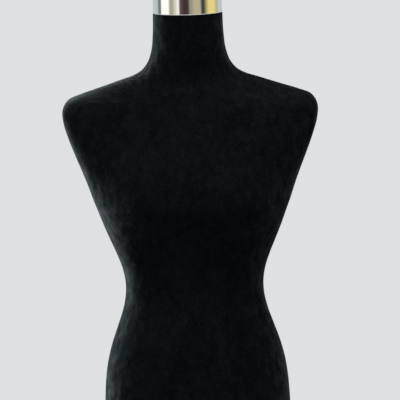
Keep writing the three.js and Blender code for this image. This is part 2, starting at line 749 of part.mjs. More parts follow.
const BOLT_HEAD_RADIUS = 10.9;
const BOLT_HEAD_HEIGHT = 6;
const BOLT_TOP = 48;
function baseBolt() {
  const headTop = washerLow - GAP;
  const head = bar(BOLT_HEAD_RADIUS, headTop - BOLT_HEAD_HEIGHT, headTop, 6);
  return solid(head).add(solid(bar(BOLT_RADIUS, headTop - 1, BOLT_TOP, 18)));
}
add("base_bolt", baseBolt(), steel, stand);

const POLE_FOOT_TOP = 58;
add("pole_foot", tube(lowerBore - GAP, boltHole, poleSeat, POLE_FOOT_TOP, 28), steel, stand);

const FLANGE_HEIGHT = 26;
const FLANGE_RADIUS = 36;
const FLANGE_EDGE = 2.5;
const FLANGE_NECK = 3; // thickness of the flange's upper end
const flangeInner = LOWER_POLE_RADIUS + GAP;
const flangeTop = poleSeat + FLANGE_HEIGHT;
const flangeCurve = FLANGE_RADIUS - flangeInner - FLANGE_NECK - GAP;
const flange = turned([
  [flangeInner, poleSeat],
  [FLANGE_RADIUS, poleSeat],
  [FLANGE_RADIUS, poleSeat + FLANGE_EDGE],
  ...arc(FLANGE_RADIUS, flangeTop - FLANGE_NECK, flangeCurve, 262, 184, 4),
  [flangeInner + FLANGE_NECK, flangeTop],
  [flangeInner, flangeTop],
], 30);
add("base_flange", flange, chrome, stand);

const FOOT_RADIUS = 11;
const up = new THREE.Vector3(0, 0, 1);
for (let i = 0; i < FOOT_COUNT; i++) {
  const foot = add(`rubber_foot_${i + 1}`, bar(FOOT_RADIUS, 0, FOOT_HEIGHT, 20), rubber, stand);
  foot.position.set(0, -FOOT_CIRCLE, 0).applyAxisAngle(up, (2 * Math.PI * i) / FOOT_COUNT);
}

export default form;
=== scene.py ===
"""A black velvet dress form with a chrome neck cap on a chrome stand, dressed around its CAD frame.

Every length is in metres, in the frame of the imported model: +Z up, the form facing -Y, and the
origin on the floor under the pole.
"""

import json
import math

import bmesh
import bpy
import numpy as np
from mathutils import Matrix, Vector, kdtree, noise
from mathutils.bvhtree import BVHTree


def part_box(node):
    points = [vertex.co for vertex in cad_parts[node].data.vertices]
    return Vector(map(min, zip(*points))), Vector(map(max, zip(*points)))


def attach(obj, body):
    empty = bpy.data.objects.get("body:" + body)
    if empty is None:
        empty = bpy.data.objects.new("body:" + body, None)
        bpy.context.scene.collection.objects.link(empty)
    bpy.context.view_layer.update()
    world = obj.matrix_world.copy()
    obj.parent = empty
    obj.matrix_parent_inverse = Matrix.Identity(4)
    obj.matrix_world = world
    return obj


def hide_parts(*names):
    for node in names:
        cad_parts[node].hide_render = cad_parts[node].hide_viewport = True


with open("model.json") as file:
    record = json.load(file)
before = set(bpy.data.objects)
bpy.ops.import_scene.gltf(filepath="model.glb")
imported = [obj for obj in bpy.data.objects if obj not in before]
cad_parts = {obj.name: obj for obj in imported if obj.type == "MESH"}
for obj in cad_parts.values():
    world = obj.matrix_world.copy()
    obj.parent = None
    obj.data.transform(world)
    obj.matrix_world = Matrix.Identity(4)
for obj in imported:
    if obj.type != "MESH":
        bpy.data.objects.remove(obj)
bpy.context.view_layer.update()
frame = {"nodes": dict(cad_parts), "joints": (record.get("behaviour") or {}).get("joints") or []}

MM = 0.001
X_AXIS, Y_AXIS, Z_AXIS = Vector((1, 0, 0)), Vector((0, 1, 0)), Vector((0, 0, 1))
JOINTS = {joint["name"]: joint for joint in frame["joints"]}
NECK_CENTRE = Vector(JOINTS["cap_turn"]["pos_m"])
NECK_AXIS = Vector(JOINTS["cap_turn"]["axis"]).normalized()
HEM_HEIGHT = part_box("velvet_front_panel")[0].z


# ---------------------------------------------------------------- meshes


def mesh_object(name, points, faces, material, smooth=True):
    """A new object from points and faces, shaded smooth or flat."""
    mesh = bpy.data.meshes.new(name)
    mesh.from_pydata([tuple(p) for p in points], [], faces)
    mesh.validate()
    mesh.polygons.foreach_set("use_smooth", [smooth] * len(mesh.polygons))
    mesh.materials.append(material)
    obj = bpy.data.objects.new(name, mesh)
    bpy.context.scene.collection.objects.link(obj)
    return obj


def baked(obj):
    """The object with its modifiers turned into plain mesh."""
    evaluated = obj.evaluated_get(bpy.context.evaluated_depsgraph_get())
    mesh = bpy.data.meshes.new_from_object(evaluated)
    obj.modifiers.clear()
    old = obj.data
    obj.data = mesh
    mesh.name = obj.name
    bpy.data.meshes.remove(old)
    return obj


def stands_for(obj, body, slot, *nodes):
    """Puts a finished piece in the CAD nodes' place and on their body; the slot is not used."""
    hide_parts(*nodes)
    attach(obj, body)
    return obj


def grid_faces(rows, columns, closed_rows=False, closed_columns=False):
    """Quads over a grid of points that is stored row by row."""
    faces = []
    for i in range(rows if closed_rows else rows - 1):
        for j in range(columns if closed_columns else columns - 1):
            i2, j2 = (i + 1) % rows, (j + 1) % columns
            faces.append((i * columns + j, i * columns + j2, i2 * columns + j2, i2 * columns + j))
    return faces


# ---------------------------------------------------------------- material nodes


class Nodes:
    """A material's node tree with short calls for what the finishes below share."""

    def __init__(self, name):
        self.material = bpy.data.materials.new(name)
        self.material.use_nodes = True
        self.tree = self.material.node_tree
        self.shader = self.tree.nodes["Principled BSDF"]
        self.place = self.add("ShaderNodeTexCoord").outputs["Object"]

    def add(self, kind, settings=None, **inputs):
        node = self.tree.nodes.new(kind)
        for key, value in (settings or {}).items():
            setattr(node, key, value)
        for key, value in inputs.items():
            self.put(node, key.replace("_", " "), value)
        return node

    def put(self, node, socket, value):
        target = node.inputs[int(socket)] if str(socket).isdigit() else node.inputs[socket]
        if isinstance(value, bpy.types.NodeSocket):
            self.tree.links.new(value, target)
        else:
            target.default_value = value

    def set(self, **inputs):
        for key, value in inputs.items():
            self.put(self.shader, key.replace("_", " "), value)

    def stretched(self, x, y, z):
        mapping = self.add("ShaderNodeMapping", Vector=self.place)
        mapping.inputs["Scale"].default_value = (x, y, z)
        return mapping.outputs["Vector"]

    def noise(self, scale, detail=4.0, rough=0.55, place=None, distortion=0.0):
        node = self.add("ShaderNodeTexNoise", Vector=place or self.place, Scale=scale, Detail=detail)
        node.inputs["Roughness"].default_value = rough
        node.inputs["Distortion"].default_value = distortion
        return node.outputs["Fac"]

    def ramp(self, value, low, high, to_low=0.0, to_high=1.0):
        node = self.add("ShaderNodeMapRange", Value=value)
        node.inputs["From Min"].default_value = low
        node.inputs["From Max"].default_value = high
        node.inputs["To Min"].default_value = to_low
        node.inputs["To Max"].default_value = to_high
        return node.outputs["Result"]

    def math(self, operation, a, b):
        node = self.add("ShaderNodeMath", {"operation": operation})
        self.put(node, 0, a)
        self.put(node, 1, b)
        return node.outputs["Value"]

    def mix(self, factor, a, b):
        node = self.add("ShaderNodeMix", {"data_type": "RGBA"})
        self.put(node, "Factor", factor)
        self.put(node, 6, a)
        self.put(node, 7, b)
        return node.outputs[2]

    def bump(self, height, distance, strength=1.0, normal=None):
        node = self.add("ShaderNodeBump", Height=height, Distance=distance, Strength=strength)
        if normal is not None:
            self.put(node, "Normal", normal)
        return node.outputs["Normal"]


def velvet_material():
    n = Nodes("black_velvet")
    pile = n.stretched(1.0, 1.0, 0.6)
    patches = n.noise(22.0, 3.0, 0.5, pile, 0.8)
    brushed = n.noise(95.0, 4.0, 0.6, pile, 0.4)
    grain = n.noise(430.0, 3.0, 0.75)
    broad = n.math("ADD", n.ramp(patches, 0.34, 0.66, 0.0, 0.16), n.ramp(brushed, 0.34, 0.66, 0.0, 0.18))
    lie = n.math("ADD", broad, n.ramp(grain, 0.30, 0.70, 0.0, 0.58))
    n.set(Base_Color=n.mix(lie, (0.0007, 0.0010, 0.0012, 1), (0.0072, 0.0099, 0.0110, 1)))
    n.set(Roughness=0.9, Specular_IOR_Level=0.0)
    n.set(Sheen_Weight=n.ramp(lie, 0.0, 1.0, 0.02, 0.12))
    n.set(Sheen_Roughness=n.ramp(brushed, 0.35, 0.65, 0.30, 0.45))
    n.set(Sheen_Tint=(0.86, 0.98, 1.0, 1))
    soft = n.bump(brushed, 0.8 * MM, 0.3)
    n.set(Normal=n.bump(grain, 0.4 * MM, 0.6, soft))
    return n.material


def chrome_material():
    n = Nodes("chrome")
    smudge = n.noise(35.0, 4.0, 0.6)
    hairline = n.noise(900.0, 2.0, 0.5, n.stretched(0.15, 0.15, 1.0))
    n.set(Base_Color=(0.80, 0.81, 0.82, 1), Metallic=1.0)
    n.set(Roughness=n.ramp(smudge, 0.4, 0.7, 0.035, 0.09))
    n.set(Normal=n.bump(hairline, 0.02 * MM, 0.25))
    return n.material


def zinc_material():
    n = Nodes("zinc_plated_steel")
    cloud = n.noise(60.0, 4.0, 0.6)
    brushed = n.noise(1400.0, 2.0, 0.5, n.stretched(1.0, 1.0, 0.08))
    n.set(Base_Color=n.mix(n.ramp(cloud, 0.35, 0.65), (0.46, 0.48, 0.50, 1), (0.60, 0.60, 0.58, 1)))
    n.set(Metallic=1.0, Roughness=n.ramp(cloud, 0.3, 0.7, 0.24, 0.42))
    n.set(Normal=n.bump(brushed, 0.05 * MM, 0.4))
    return n.material


def moulded_material():
    n = Nodes("moulded_shell")
    blotch = n.noise(22.0, 4.0, 0.6)
    fibre = n.noise(420.0, 3.0, 0.7, n.stretched(1.0, 1.0, 0.3), 1.5)
    n.set(Base_Color=n.mix(n.ramp(blotch, 0.35, 0.65), (0.55, 0.50, 0.41, 1), (0.68, 0.64, 0.55, 1)))
    n.set(Roughness=n.ramp(fibre, 0.3, 0.7, 0.5, 0.72))
    n.set(Normal=n.bump(fibre, 0.4 * MM, 0.5))
    return n.material


def board_material():
    n = Nodes("plywood")
    grain = n.noise(90.0, 5.0, 0.65, n.stretched(1.0, 0.06, 1.0), 0.8)
    plies = n.add("ShaderNodeTexWave", {"bands_direction": "Z"}, Vector=n.place, Scale=95.0)
    plies.inputs["Distortion"].default_value = 0.4
    layers = n.ramp(plies.outputs["Fac"], 0.0, 1.0, 0.72, 1.0)
    tone = n.math("MULTIPLY", layers, n.ramp(grain, 0.3, 0.7, 0.7, 1.0))
    n.set(Base_Color=n.mix(tone, (0.20, 0.11, 0.05, 1), (0.56, 0.38, 0.21, 1)))
    n.set(Roughness=n.ramp(grain, 0.3, 0.7, 0.55, 0.75), Normal=n.bump(grain, 0.3 * MM, 0.5))
    return n.material


def felt_material():
    n = Nodes("needle_felt")
    clump = n.noise(180.0, 4.0, 0.65)
    fibre = n.noise(1500.0, 3.0, 0.7, None, 2.0)
    shade = n.ramp(clump, 0.35, 0.65)
    n.set(Base_Color=n.mix(shade, (0.010, 0.010, 0.012, 1), (0.026, 0.026, 0.031, 1)))
    n.set(Roughness=0.95, Specular_IOR_Level=0.1, Sheen_Weight=n.ramp(fibre, 0.35, 0.7, 0.1, 0.5))
    n.set(Sheen_Roughness=0.6, Normal=n.bump(fibre, 0.5 * MM, 0.7))
    return n.material


def brass_material():
    n = Nodes("turned_brass")
    tarnish = n.noise(150.0, 4.0, 0.6)
    turning = n.noise(2500.0, 2.0, 0.5, n.stretched(0.05, 0.05, 1.0))
    n.set(Base_Color=n.mix(n.ramp(tarnish, 0.4, 0.7), (0.74, 0.55, 0.25, 1), (0.46, 0.31, 0.13, 1)))
    n.set(Metallic=1.0, Roughness=n.ramp(tarnish, 0.3, 0.7, 0.2, 0.4))
    n.set(Normal=n.bump(turning, 0.04 * MM, 0.5))
    return n.material


def plastic_material():
    n = Nodes("black_plastic")
    grain = n.noise(1100.0, 2.0, 0.5)
    wear = n.noise(45.0, 4.0, 0.6)
    n.set(Base_Color=n.mix(n.ramp(wear, 0.45, 0.7), (0.012, 0.012, 0.013, 1), (0.030, 0.030, 0.031, 1)))
    n.set(Roughness=n.ramp(wear, 0.35, 0.65, 0.34, 0.52), Normal=n.bump(grain, 0.12 * MM, 0.5))
    return n.material


def iron_material():
    n = Nodes("painted_cast_iron")
    lumps = n.noise(120.0, 4.0, 0.6)
    sand = n.noise(700.0, 3.0, 0.65)
    rust = n.ramp(n.noise(30.0, 5.0, 0.7), 0.62, 0.74)
    n.set(Base_Color=n.mix(rust, (0.030, 0.030, 0.031, 1), (0.10, 0.045, 0.02, 1)))
    n.set(Roughness=n.ramp(lumps, 0.3, 0.7, 0.45, 0.8), Metallic=0.2)
    n.set(Normal=n.bump(sand, 0.3 * MM, 0.5, n.bump(lumps, 0.8 * MM, 0.5)))
    return n.material


def rubber_material():
    n = Nodes("black_rubber")
    dust = n.noise(160.0, 4.0, 0.6)
    speckle = n.noise(1300.0, 2.0, 0.6)
    n.set(Base_Color=n.mix(n.ramp(dust, 0.45, 0.75), (0.009, 0.009, 0.009, 1), (0.035, 0.033, 0.031, 1)))
    n.set(Roughness=n.ramp(dust, 0.3, 0.7, 0.7, 0.95), Normal=n.bump(speckle, 0.2 * MM, 0.5))
    return n.material


MATERIALS = {
    "velvet": velvet_material(),
    "chrome": chrome_material(),
    "zinc_steel": zinc_material(),
    "moulded_shell": moulded_material(),
    "board": board_material(),
    "felt": felt_material(),
    "brass": brass_material(),
    "black_plastic": plastic_material(),
    "iron": iron_material(),
    "rubber": rubber_material(),
}


# ---------------------------------------------------------------- velvet cover

ROWS = 169
COLUMNS = 192
HEM_ROLL = 2.5 * MM
COLLAR_ROLL = 1.4 * MM
MARGIN = 3  # points repeated past each end of a closed curve, so that it closes smoothly


def seam_line():
    """A function from height to the side seams' y, read where the two panels face each other."""
    FACING = 0.6 * MM  # more than the gap between the panels, less than the step between corners
    front = frame["nodes"]["velvet_front_panel"].data.vertices
    back = frame["nodes"]["velvet_back_panel"].data.vertices
    tree = kdtree.KDTree(len(back))
    for v in back:
        tree.insert(v.co, v.index)
    tree.balance()
    pairs = [(v.co, tree.find(v.co)) for v in front]
    met = sorted((co.z, (co.y + found[0].y) / 2) for co, found in pairs if found[2] < FACING)
    heights, ys = np.array(met).T
    return lambda z: np.interp(z, heights, ys)


def outer_corners():
    """The corners of the CAD cover's outer surface, both panels together."""
    AWAY = 0.3 * MM  # where a ray starts, clear of the corner it looks out from
    SAME_DIGITS = 5  # corners that agree to a hundredth of a millimetre are one
    COLLAR_REACH, COLLAR_DEPTH = 52 * MM, 20 * MM  # the turned-in collar lies within these
    panels = [frame["nodes"][node].data for node in ("velvet_front_panel", "velvet_back_panel")]
    points = [v.co.copy() for mesh in panels for v in mesh.vertices]
    first = len(panels[0].vertices)
    faces = [list(p.vertices) for p in panels[0].polygons]
    faces += [[first + i for i in p.vertices] for p in panels[1].polygons]
    tree = BVHTree.FromPolygons(points, faces)
    seam = seam_line()
    corners = []
    for co in {co.to_tuple(SAME_DIGITS): co for co in points}.values():
        way = Vector((co.x, co.y - seam(co.z), 0)).normalized()
        from_neck = co - NECK_CENTRE
        along = from_neck.dot(NECK_AXIS)
        collar = along > -COLLAR_DEPTH and (from_neck - NECK_AXIS * along).length < COLLAR_REACH
        if not collar and tree.ray_cast(co + way * AWAY, way)[0] is None:
            corners.append(co)
    return corners, seam


def straightest(ring):
    """The index of the corner that lies closest to the line between its neighbours."""

    def bend(i):
        before, after = ring[i - 1], ring[(i + 1) % len(ring)]
        return (ring[i] - before).cross((after - before).normalized()).length

    return min(range(len(ring)), key=bend)


def loft_rows():
    """The CAD cover's own rings of corners from hem to neck, each from the +X seam by the back.

    Two corners that face each other across a seam become one.
    """
    ON_MIDDLE, ON_ROW, SAME = 0.02 * MM, 0.004 * MM, 1 * MM
    corners, seam = outer_corners()
    middle = sorted((co for co in corners if abs(co.x) < ON_MIDDLE), key=lambda co: co.z)
    fronts = [co for co in middle if co.y < seam(co.z)]
    backs = [co for co in middle if co.y > seam(co.z)]
    rows = []
    for front, back in zip(fronts, backs):
        slope = (back.z - front.z) / (back.y - front.y)
        ring = [co for co in corners if abs(front.z + slope * (co.y - front.y) - co.z) < ON_ROW]
        centre = (front.y + back.y) / 2
        ring.sort(key=lambda co: math.atan2(co.y - centre, co.x) % (2 * math.pi))
        merged = []
        for co in ring:
            if merged and (co - merged[-1]).length < SAME:
                merged[-1] = (merged[-1] + co) / 2
            else:
                merged.append(co)
        if (merged[0] - merged[-1]).length < SAME:
            merged[0] = (merged[0] + merged.pop()) / 2
        rows.append(merged)
    usual = sorted(len(ring) for ring in rows)[len(rows) // 2]
    for k, ring in enumerate(rows):
        while len(ring) > usual:
            del ring[straightest(ring)]
        sides = [i for i, co in enumerate(ring) if co.x > 0]
        start = min(sides, key=lambda i: abs(ring[i].y - seam(ring[i].z)))
        rows[k] = ring[start:] + ring[:start]
    return np.array([[co[:] for co in ring] for ring in rows])


def through(points, at, wanted):
    """Points on a smooth curve through the given ones, which lie at the increasing places at."""
    slopes = np.diff(points, axis=0) / np.diff(at)[:, None, None]
    shares = (at[1:-1] - at[:-2]) / (at[2:] - at[:-2])
    inner = slopes[:-1] * (1 - shares)[:, None, None] + slopes[1:] * shares[:, None, None]
    tangents = np.concatenate([slopes[:1], inner, slopes[-1:]])
    i = np.clip(np.searchsorted(at, wanted) - 1, 0, len(at) - 2)
    span = (at[i + 1] - at[i])[:, None, None]
    t = ((wanted - at[i]) / (at[i + 1] - at[i]))[:, None, None]
    return (
        (2 * t ** 3 - 3 * t ** 2 + 1) * points[i] + (t ** 3 - 2 * t ** 2 + t) * span * tangents[i]
        + (3 * t ** 2 - 2 * t ** 3) * points[i + 1] + (t ** 3 - t ** 2) * span * tangents[i + 1]
    )


def cover_rows():
    """The cover's smooth outer surface, row by row, from the hem's roll to the collar's roll.

    Column 0 lies on the +X side seam and the middle column on the -X one.
    """
    LONGEST_SHARE = 0.5  # weight of a row's longest step, which puts more rows over the bust
    rows = loft_rows()
    around = np.transpose(rows, (1, 0, 2))
    steps = np.linalg.norm(np.diff(around, axis=0, append=around[:1]), axis=2).mean(1)
    steps = (steps + steps[::-1]) / 2  # the same on both sides
    places = np.concatenate([[0], np.cumsum(steps)])
    turn = places[-1]
    wrapped = np.concatenate([around[-MARGIN:], around, around[:MARGIN + 1]])
    before, after = places[-MARGIN - 1:-1] - turn, places[1:MARGIN + 1] + turn
    wrapped_places = np.concatenate([before, places, after])
    fine = through(wrapped, wrapped_places, np.linspace(0, turn, COLUMNS + 1)[:-1])
    rows = np.transpose(fine, (1, 0, 2))
    lengths = np.linalg.norm(np.diff(rows, axis=0), axis=2)
    places = np.concatenate([[0], np.cumsum(lengths.mean(1) + LONGEST_SHARE * lengths.max(1))])
    grow = places[1] / lengths[0].mean()
    wanted = np.linspace(HEM_ROLL * grow, places[-1] - COLLAR_ROLL * grow, ROWS)
    return through(rows, places, wanted)


def outward(rows):
    """Unit normals of the closed grid of rows, pointing out of the form."""
    around = np.roll(rows, -1, 1) - np.roll(rows, 1, 1)
    normals = np.cross(around, np.gradient(rows, axis=0))
    return normals / np.linalg.norm(normals, axis=2)[:, :, None]


def pulled_tight(rows):
    """The rows after the velvet, sewn fast at its seams and rims, has been stretched over padding.

    A coarse copy is simulated as cloth, and how far it stands off is spread over the fine rows.
    """
    STEP, FRAMES, PRESSURE, MOST = 3, 16, 4.0, 1.5 * MM
    coarse = rows[::STEP, ::STEP]
    high, wide = coarse.shape[:2]
    faces = grid_faces(high, wide, closed_columns=True)
    cloth = mesh_object("velvet_cloth", coarse.reshape(-1, 3), faces, MATERIALS["velvet"])
    sewn = cloth.vertex_groups.new(name="sewn")
    seams = [i * wide + j for i in range(high) for j in (0, wide // 2)]
    sewn.add([*range(wide), *range((high - 1) * wide, high * wide), *seams], 1.0, "REPLACE")
    modifier = cloth.modifiers.new("cloth", "CLOTH")
    modifier.settings.vertex_group_mass = "sewn"
    modifier.settings.use_pressure = True
    modifier.settings.uniform_pressure_force = PRESSURE
    modifier.settings.effector_weights.gravity = 0
    scene = bpy.context.scene
    for number in range(1, FRAMES + 1):
        scene.frame_set(number)
    evaluated = cloth.evaluated_get(bpy.context.evaluated_depsgraph_get()).data
    places = np.empty(high * wide * 3)
    evaluated.vertices.foreach_get("co", places)
    scene.frame_set(1)
    bpy.data.objects.remove(cloth)
    lift = ((places.reshape(high, wide, 3) - coarse) * outward(coarse)).sum(2)
    lift = MOST * np.tanh(np.maximum(lift, 0) / MOST)
    lift = np.concatenate([lift, lift[:, :1]], 1)
    columns = np.arange(COLUMNS) / STEP
    lift = np.array([np.interp(columns, np.arange(wide + 1), line) for line in lift])
    places = np.arange(ROWS) / STEP
    lift = np.array([np.interp(places, np.arange(high), line) for line in lift.T]).T
    return rows + outward(rows) * lift[:, :, None]


def inward(row):
    """Level unit vectors from each point of a closed row to its inside, square to the row."""
    along = np.roll(row, -1, 0) - np.roll(row, 1, 0)
    ways = np.cross(np.array(Z_AXIS), along)
    return ways / np.linalg.norm(ways, axis=1)[:, None]


def turned_edge(row, up, radius, flat):
    """Rows that roll over from this one, towards up and inwards, and then run flat."""
    way = inward(row)
    up = np.array(up)
    rows = []
    for angle in np.radians([22.5, 45, 67.5, 90]):
        rows.append(row + way * radius * (1 - math.cos(angle)) + up * radius * math.sin(angle))
    for reach in (0.3, 1.0):
        rows.append(rows[3] + way * flat * reach)
    return rows


def velvet_panel(name, grid, front):
    """Half of the cover, from seam to seam, with its edges pulled into the seams."""
    BESIDE = 0.3  # a column close to each seam, as a share of the way to the next
    SEAM_DEPTH, SEAM_ROOM, BESIDE_SHARE = 0.7 * MM, 0.03 * MM, 0.25
    CLOTH_THICKNESS = 1.6 * MM
    half = COLUMNS // 2
    start = half if front else 0
    places = [0, BESIDE, *range(1, half), half - BESIDE, half]
    picked = []
    for place in places:
        low = int(math.floor(place))
        share = place - low
        a = grid[:, (start + low) % COLUMNS]
        b = grid[:, (start + low + 1) % COLUMNS]
        picked.append(a * (1 - share) + b * share)
    panel = np.stack(picked, 1)
    for edge, neighbour in ((0, 1), (-1, -2)):
        side = np.sign(panel[:, edge, :1].mean())
        panel[:, edge, 0] -= side * SEAM_DEPTH
        panel[:, neighbour, 0] -= side * SEAM_DEPTH * BESIDE_SHARE
        panel[:, edge, 1] += SEAM_ROOM * (-1 if front else 1)
    rows, columns = panel.shape[:2]
    obj = mesh_object(name, panel.reshape(-1, 3), grid_faces(rows, columns), MATERIALS["velvet"])
    solidify = obj.modifiers.new("thickness", "SOLIDIFY")
    solidify.thickness = CLOTH_THICKNESS
    solidify.offset = -1
    return baked(obj)


def build_cover():
    HEM_FLAT, COLLAR_FLAT = 16 * MM, 8 * MM
    rows = cover_rows()
    rows = pulled_tight(rows)
    hem = turned_edge(rows[0], -Z_AXIS, HEM_ROLL, HEM_FLAT)
    collar = turned_edge(rows[-1], NECK_AXIS, COLLAR_ROLL, COLLAR_FLAT)
    grid = np.concatenate([hem[::-1], rows, collar])
    for name, front in (("velvet_front", True), ("velvet_back", False)):
        panel = velvet_panel(name, grid, front)
        stands_for(panel, "torso", "velvet", name + "_panel")


build_cover()


# ---------------------------------------------------------------- turned pieces


ON_AXIS = 5e-6  # a corner closer to the axis than this lies on it
SAME_CORNER = 2e-6  # corners closer together than this are one


def across(axis):
    """Two directions square to an axis; the first is along Y for X and along -X for the rest."""
    first = Y_AXIS if abs(axis.x) > 0.9 else -X_AXIS
    return first, axis.cross(first)


def profile_of(node, origin, axis):
    """The outline that a turned CAD node was spun from, read off one side of its mesh.

    Gives its (radius, height) corners in order, and whether it closes on itself.
    """
    CLEAR_OF_AXIS, IN_PLANE = 1 * MM, 0.02 * MM
    bm = bmesh.new()
    bm.from_mesh(frame["nodes"][node].data)
    bmesh.ops.remove_doubles(bm, verts=bm.verts, dist=SAME_CORNER)
    u, w = across(axis)
    place = {}
    for v in bm.verts:
        d = v.co - origin
        place[v] = (math.hypot(d.dot(u), d.dot(w)), d.dot(axis), math.atan2(d.dot(w), d.dot(u)))
    heading = min((abs(p[2]), p[2]) for p in place.values() if p[0] > CLEAR_OF_AXIS)[1]

    def in_plane(v):
        radius, _, angle = place[v]
        turn = abs((angle - heading + math.pi) % (2 * math.pi) - math.pi)
        return radius < ON_AXIS or turn * radius < IN_PLANE

    links = {v: [] for v in bm.verts if in_plane(v)}
    for edge in bm.edges:
        a, b = edge.verts
        if a in links and b in links and max(place[a][0], place[b][0]) > ON_AXIS:
            links[a].append(b)
            links[b].append(a)
    links = {v: linked for v, linked in links.items() if linked}
    ends = [v for v, linked in links.items() if len(linked) == 1]
    at = min(ends or links, key=lambda v: place[v][1])
    seen, chain = set(), []
    while at is not None:
        seen.add(at)
        chain.append(place[at][:2])
        at = next((v for v in links[at] if v not in seen), None)
    bm.free()
    return chain, not ends


def eased(chain, closed, edge_radius):
    """The outline with gentle corners curved and sharp ones given a small radius."""
    SHARP = math.radians(40)
    GENTLE_SHARE, SHARP_SHARE = 0.5, 0.4  # of a corner's shorter side, for its curve to reach
    GENTLE_STEPS, SHARP_STEPS = 4, 3
    NO_LENGTH = 1e-7
    points = [Vector(p) for p in chain]
    count = len(points)
    result = []
    for i, p in enumerate(points):
        if not closed and i in (0, count - 1):
            result.append(p)
            continue
        before, after = points[i - 1] - p, points[(i + 1) % count] - p
        if before.length < NO_LENGTH or after.length < NO_LENGTH:
            continue
        turn = math.pi - before.angle(after)
        shortest = min(before.length, after.length)
        gentle = turn < SHARP
        reach = GENTLE_SHARE * shortest if gentle else min(edge_radius, SHARP_SHARE * shortest)
        start, end = p + before.normalized() * reach, p + after.normalized() * reach
        steps = GENTLE_STEPS if gentle else SHARP_STEPS
        for k in range(steps + 1):
            t = k / steps
            point = start * (1 - t) ** 2 + p * 2 * t * (1 - t) + end * t * t
            if not result or (point - result[-1]).length > SAME_CORNER:
                result.append(point)
    if closed and (result[0] - result[-1]).length < SAME_CORNER:
        result.pop()
    return result


def spin(name, points, closed, origin, axis, material, segments=96, warp=None):
    """A solid of revolution about an axis from (radius, height) points.

    warp, if given, changes the radius by radius, height and angle.
    """
    u, w = across(axis)
    bm = bmesh.new()
    rings = []
    for radius, height in points:
        if radius < ON_AXIS:
            rings.append([bm.verts.new(origin + axis * height)] * segments)
            continue
        ring = []
        for k in range(segments):
            a = 2 * math.pi * k / segments
            r = warp(radius, height, a) if warp else radius
            way = u * math.cos(a) + w * math.sin(a)
            ring.append(bm.verts.new(origin + axis * height + way * r))
        rings.append(ring)
    for low, high in zip(rings, rings[1:] + rings[:1] if closed else rings[1:]):
        for k in range(segments):
            k2 = (k + 1) % segments
            corners = []
            for v in (low[k], low[k2], high[k2], high[k]):
                if v not in corners:
                    corners.append(v)
            if len(corners) > 2:
                bm.faces.new(corners)
    bmesh.ops.recalc_face_normals(bm, faces=bm.faces)
    mesh = bpy.data.meshes.new(name)
    bm.to_mesh(mesh)
    bm.free()
    mesh.materials.append(material)
    obj = bpy.data.objects.new(name, mesh)
    bpy.context.scene.collection.objects.link(obj)
    return shaded(obj)


def shaded(obj):
    """Smooth shading that keeps the sharp edges."""
    SHARP = math.radians(35)
    mesh = obj.data
    mesh.polygons.foreach_set("use_smooth", [True] * len(mesh.polygons))
    mesh.set_sharp_from_angle(angle=SHARP)
    return obj


def welded(obj):
    """The object with corners that lie on top of each other made one."""
    bm = bmesh.new()
    bm.from_mesh(obj.data)
    bmesh.ops.remove_doubles(bm, verts=bm.verts, dist=SAME_CORNER)
    bm.to_mesh(obj.data)
    bm.free()
    return obj


def combine(obj, other, operation):
    """Joins the other piece to the object or cuts it out, and drops the other."""
    modifier = obj.modifiers.new(operation, "BOOLEAN")
    modifier.operation = operation
    modifier.object = other
    modifier.solver = "EXACT"
    welded(baked(obj))
    mesh = other.data
    bpy.data.objects.remove(other)
    bpy.data.meshes.remove(mesh)
    return shaded(obj)


def rod(radius, low, high, origin, axis, material, edge=0.0, segments=96):
    chain = [(0, low), (radius, low), (radius, high), (0, high)]
    points = eased(chain, False, edge) if edge else chain
    return spin("rod", points, False, origin, axis, material, segments)


def respun(node, body, slot, origin=Vector(), axis=Z_AXIS, segments=96, edge=0.5 * MM, holes=()):
    """A fine copy of a turned CAD node, which it replaces, with radial holes cut out."""
    material = MATERIALS[slot]
    chain, closed = profile_of(node, origin, axis)
    obj = spin(node + "_turned", eased(chain, closed, edge), closed, origin, axis, material, segments)
    for radius, low, high, start, way in holes:
        combine(obj, rod(radius, low, high, start, way, material, 0, 48), "DIFFERENCE")
    return stands_for(obj, body, slot, node)


# ---------------------------------------------------------------- poles, base and cap

SCREW_RADIUS = 4 * MM
SCREW_PITCH = 1.25 * MM
SCREW_HOLE = SCREW_RADIUS + 0.35 * MM
BOSS_RADIUS, BOSS_START, BOSS_END = 9 * MM, 12 * MM, 25 * MM  # the bosses that take the lock screws
HOLE_START, HOLE_END = 5 * MM, 60 * MM  # a cut for a lock screw, from inside the bore to past the boss


def middle_of(node):
    low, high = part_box(node)
    return (low + high) / 2


def foot_of(node):
    """The point on the floor's level below a CAD node's middle."""
    centre = middle_of(node)
    return Vector((centre.x, centre.y, 0))


SOCKET_SCREWS = ["socket_screw_%d" % i for i in range(1, 5)]
RUBBER_FEET = ["rubber_foot_%d" % i for i in range(1, 6)]
HEIGHT_LOCK = Vector((0, 0, middle_of("height_lock_screw").z))
TORSO_LOCK = Vector((0, 0, middle_of("torso_lock_screw").z))
height_hole = (SCREW_HOLE, HOLE_START, HOLE_END, HEIGHT_LOCK, X_AXIS)

respun("upper_pole", "upper_pole", "chrome", segments=128)
respun("pole_top_plug", "upper_pole", "black_plastic")
respun("pole_glide", "upper_pole", "black_plastic")
respun("lower_pole", "stand", "chrome", segments=128, holes=[height_hole])
respun("guide_bush", "stand", "black_plastic", segments=128, holes=[height_hole])
respun("pole_foot", "stand", "zinc_steel")
respun("base_flange", "stand", "chrome", segments=128, edge=0.8 * MM)
respun("base_cover", "stand", "chrome", segments=192, edge=0.6 * MM)
respun("base_weight", "stand", "iron", segments=160, edge=1 * MM)
respun("base_washer", "stand", "zinc_steel", edge=0.3 * MM)
respun("socket_stop_plug", "torso", "black_plastic")

